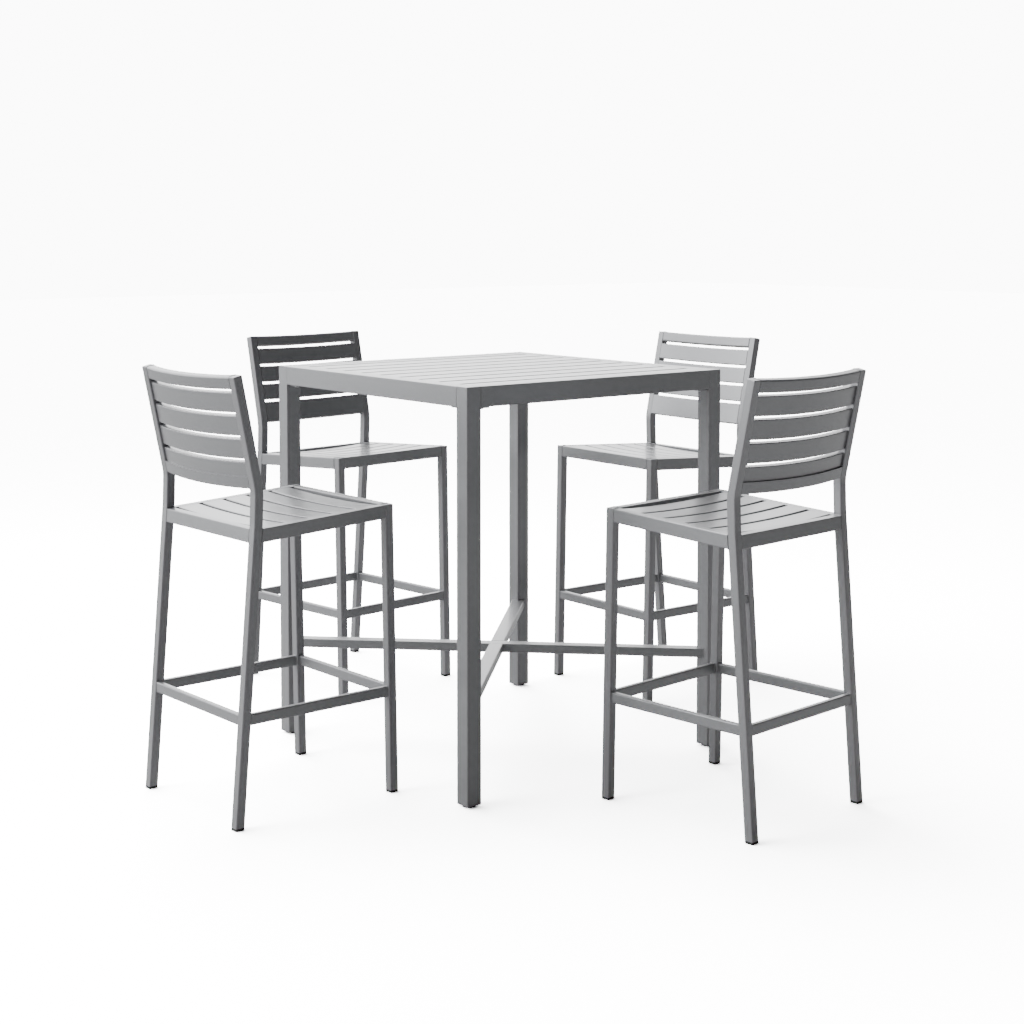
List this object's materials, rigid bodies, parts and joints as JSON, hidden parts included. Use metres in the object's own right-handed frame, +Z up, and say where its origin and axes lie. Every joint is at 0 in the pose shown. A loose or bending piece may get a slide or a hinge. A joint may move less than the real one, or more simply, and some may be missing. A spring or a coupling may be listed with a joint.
{
  "type": "bar-height patio dining set",
  "caption": "A square slatted bar table on four legs with a low crossed brace, and slatted bar stools with raked backs and ring footrests that slide up to it.",
  "frame": {"origin": "On the floor under the middle of the whole set's bounding box.", "axes": "+Z is up. The table's sides run along X and Y, the slats of its top run along X. Two stools stand at the -X and -Y sides, two at the +X and +Y sides."},
  "size_m": [2.1206, 2.2312, 1.1184],
  "materials": {
    "powder_coat_frame": "silver-grey powder coat on aluminium tube, fine orange peel, satin",
    "powder_coat_slats": "silver-grey powder coat on extruded aluminium slats, fine orange peel, satin",
    "glide_plastic": "moulded black plastic, fine texture",
    "fastener_steel": "plated steel fasteners and plate, satin"
  },
  "bodies": {
    "table": {"table_leg_near": "powder_coat_frame", "table_leg_left": "powder_coat_frame", "table_leg_right": "powder_coat_frame", "table_leg_far": "powder_coat_frame", "corner_block_near": "powder_coat_frame", "corner_block_left": "powder_coat_frame", "corner_block_right": "powder_coat_frame", "corner_block_far": "powder_coat_frame", "apron_left_front": "powder_coat_frame", "apron_right_front": "powder_coat_frame", "apron_left_back": "powder_coat_frame", "apron_right_back": "powder_coat_frame", "table_slats": "powder_coat_slats", "edge_slats": "powder_coat_slats", "slat_supports": "powder_coat_frame", "brace_long": "powder_coat_frame", "brace_short_near": "powder_coat_frame", "brace_short_far": "powder_coat_frame", "brace_plate": "fastener_steel", "brace_screws": "fastener_steel", "leg_bolts": "fastener_steel", "leg_end_plugs": "powder_coat_frame"},
    "glide_near": {"levelling_glide_near": "glide_plastic"},
    "glide_left": {"levelling_glide_left": "glide_plastic"},
    "glide_right": {"levelling_glide_right": "glide_plastic"},
    "glide_far": {"levelling_glide_far": "glide_plastic"},
    "stool_left_front": {"stool_left_front_rear_legs": "powder_coat_frame", "stool_left_front_front_legs": "powder_coat_frame", "stool_left_front_seat_frame": "powder_coat_frame", "stool_left_front_seat_slats": "powder_coat_slats", "stool_left_front_back_slats": "powder_coat_slats", "stool_left_front_back_rails": "powder_coat_frame", "stool_left_front_footrest_bars": "powder_coat_frame", "stool_left_front_foot_caps": "glide_plastic"},
    "stool_right_front": {"stool_right_front_rear_legs": "powder_coat_frame", "stool_right_front_front_legs": "powder_coat_frame", "stool_right_front_seat_frame": "powder_coat_frame", "stool_right_front_seat_slats": "powder_coat_slats", "stool_right_front_back_slats": "powder_coat_slats", "stool_right_front_back_rails": "powder_coat_frame", "stool_right_front_footrest_bars": "powder_coat_frame", "stool_right_front_foot_caps": "glide_plastic"},
    "stool_left_back": {"stool_left_back_rear_legs": "powder_coat_frame", "stool_left_back_front_legs": "powder_coat_frame", "stool_left_back_seat_frame": "powder_coat_frame", "stool_left_back_seat_slats": "powder_coat_slats", "stool_left_back_back_slats": "powder_coat_slats", "stool_left_back_back_rails": "powder_coat_frame", "stool_left_back_footrest_bars": "powder_coat_frame", "stool_left_back_foot_caps": "glide_plastic"},
    "stool_right_back": {"stool_right_back_rear_legs": "powder_coat_frame", "stool_right_back_front_legs": "powder_coat_frame", "stool_right_back_seat_frame": "powder_coat_frame", "stool_right_back_seat_slats": "powder_coat_slats", "stool_right_back_back_slats": "powder_coat_slats", "stool_right_back_back_rails": "powder_coat_frame", "stool_right_back_footrest_bars": "powder_coat_frame", "stool_right_back_foot_caps": "glide_plastic"}
  },
  "joints": [
    {"name": "stool_left_front_push_in", "type": "slide", "parent": "table", "child": "stool_left_front", "axis": [0.9998, 0.0222, 0], "range_m": [-0.35, 0.22]},
    {"name": "stool_right_front_push_in", "type": "slide", "parent": "table", "child": "stool_right_front", "axis": [-0.0974, 0.9952, 0], "range_m": [-0.35, 0.16]},
    {"name": "stool_left_back_push_in", "type": "slide", "parent": "table", "child": "stool_left_back", "axis": [0.1045, -0.9945, 0], "range_m": [-0.35, 0.25]},
    {"name": "stool_right_back_push_in", "type": "slide", "parent": "table", "child": "stool_right_back", "axis": [-0.9999, 0.0136, 0], "range_m": [-0.35, 0.12]},
    {"name": "glide_near_height", "type": "slide", "parent": "table", "child": "glide_near", "axis": [0, 0, -1], "range_m": [0, 0.008]},
    {"name": "glide_left_height", "type": "slide", "parent": "table", "child": "glide_left", "axis": [0, 0, -1], "range_m": [0, 0.008]},
    {"name": "glide_right_height", "type": "slide", "parent": "table", "child": "glide_right", "axis": [0, 0, -1], "range_m": [0, 0.008]},
    {"name": "glide_far_height", "type": "slide", "parent": "table", "child": "glide_far", "axis": [0, 0, -1], "range_m": [0, 0.008]}
  ]
}
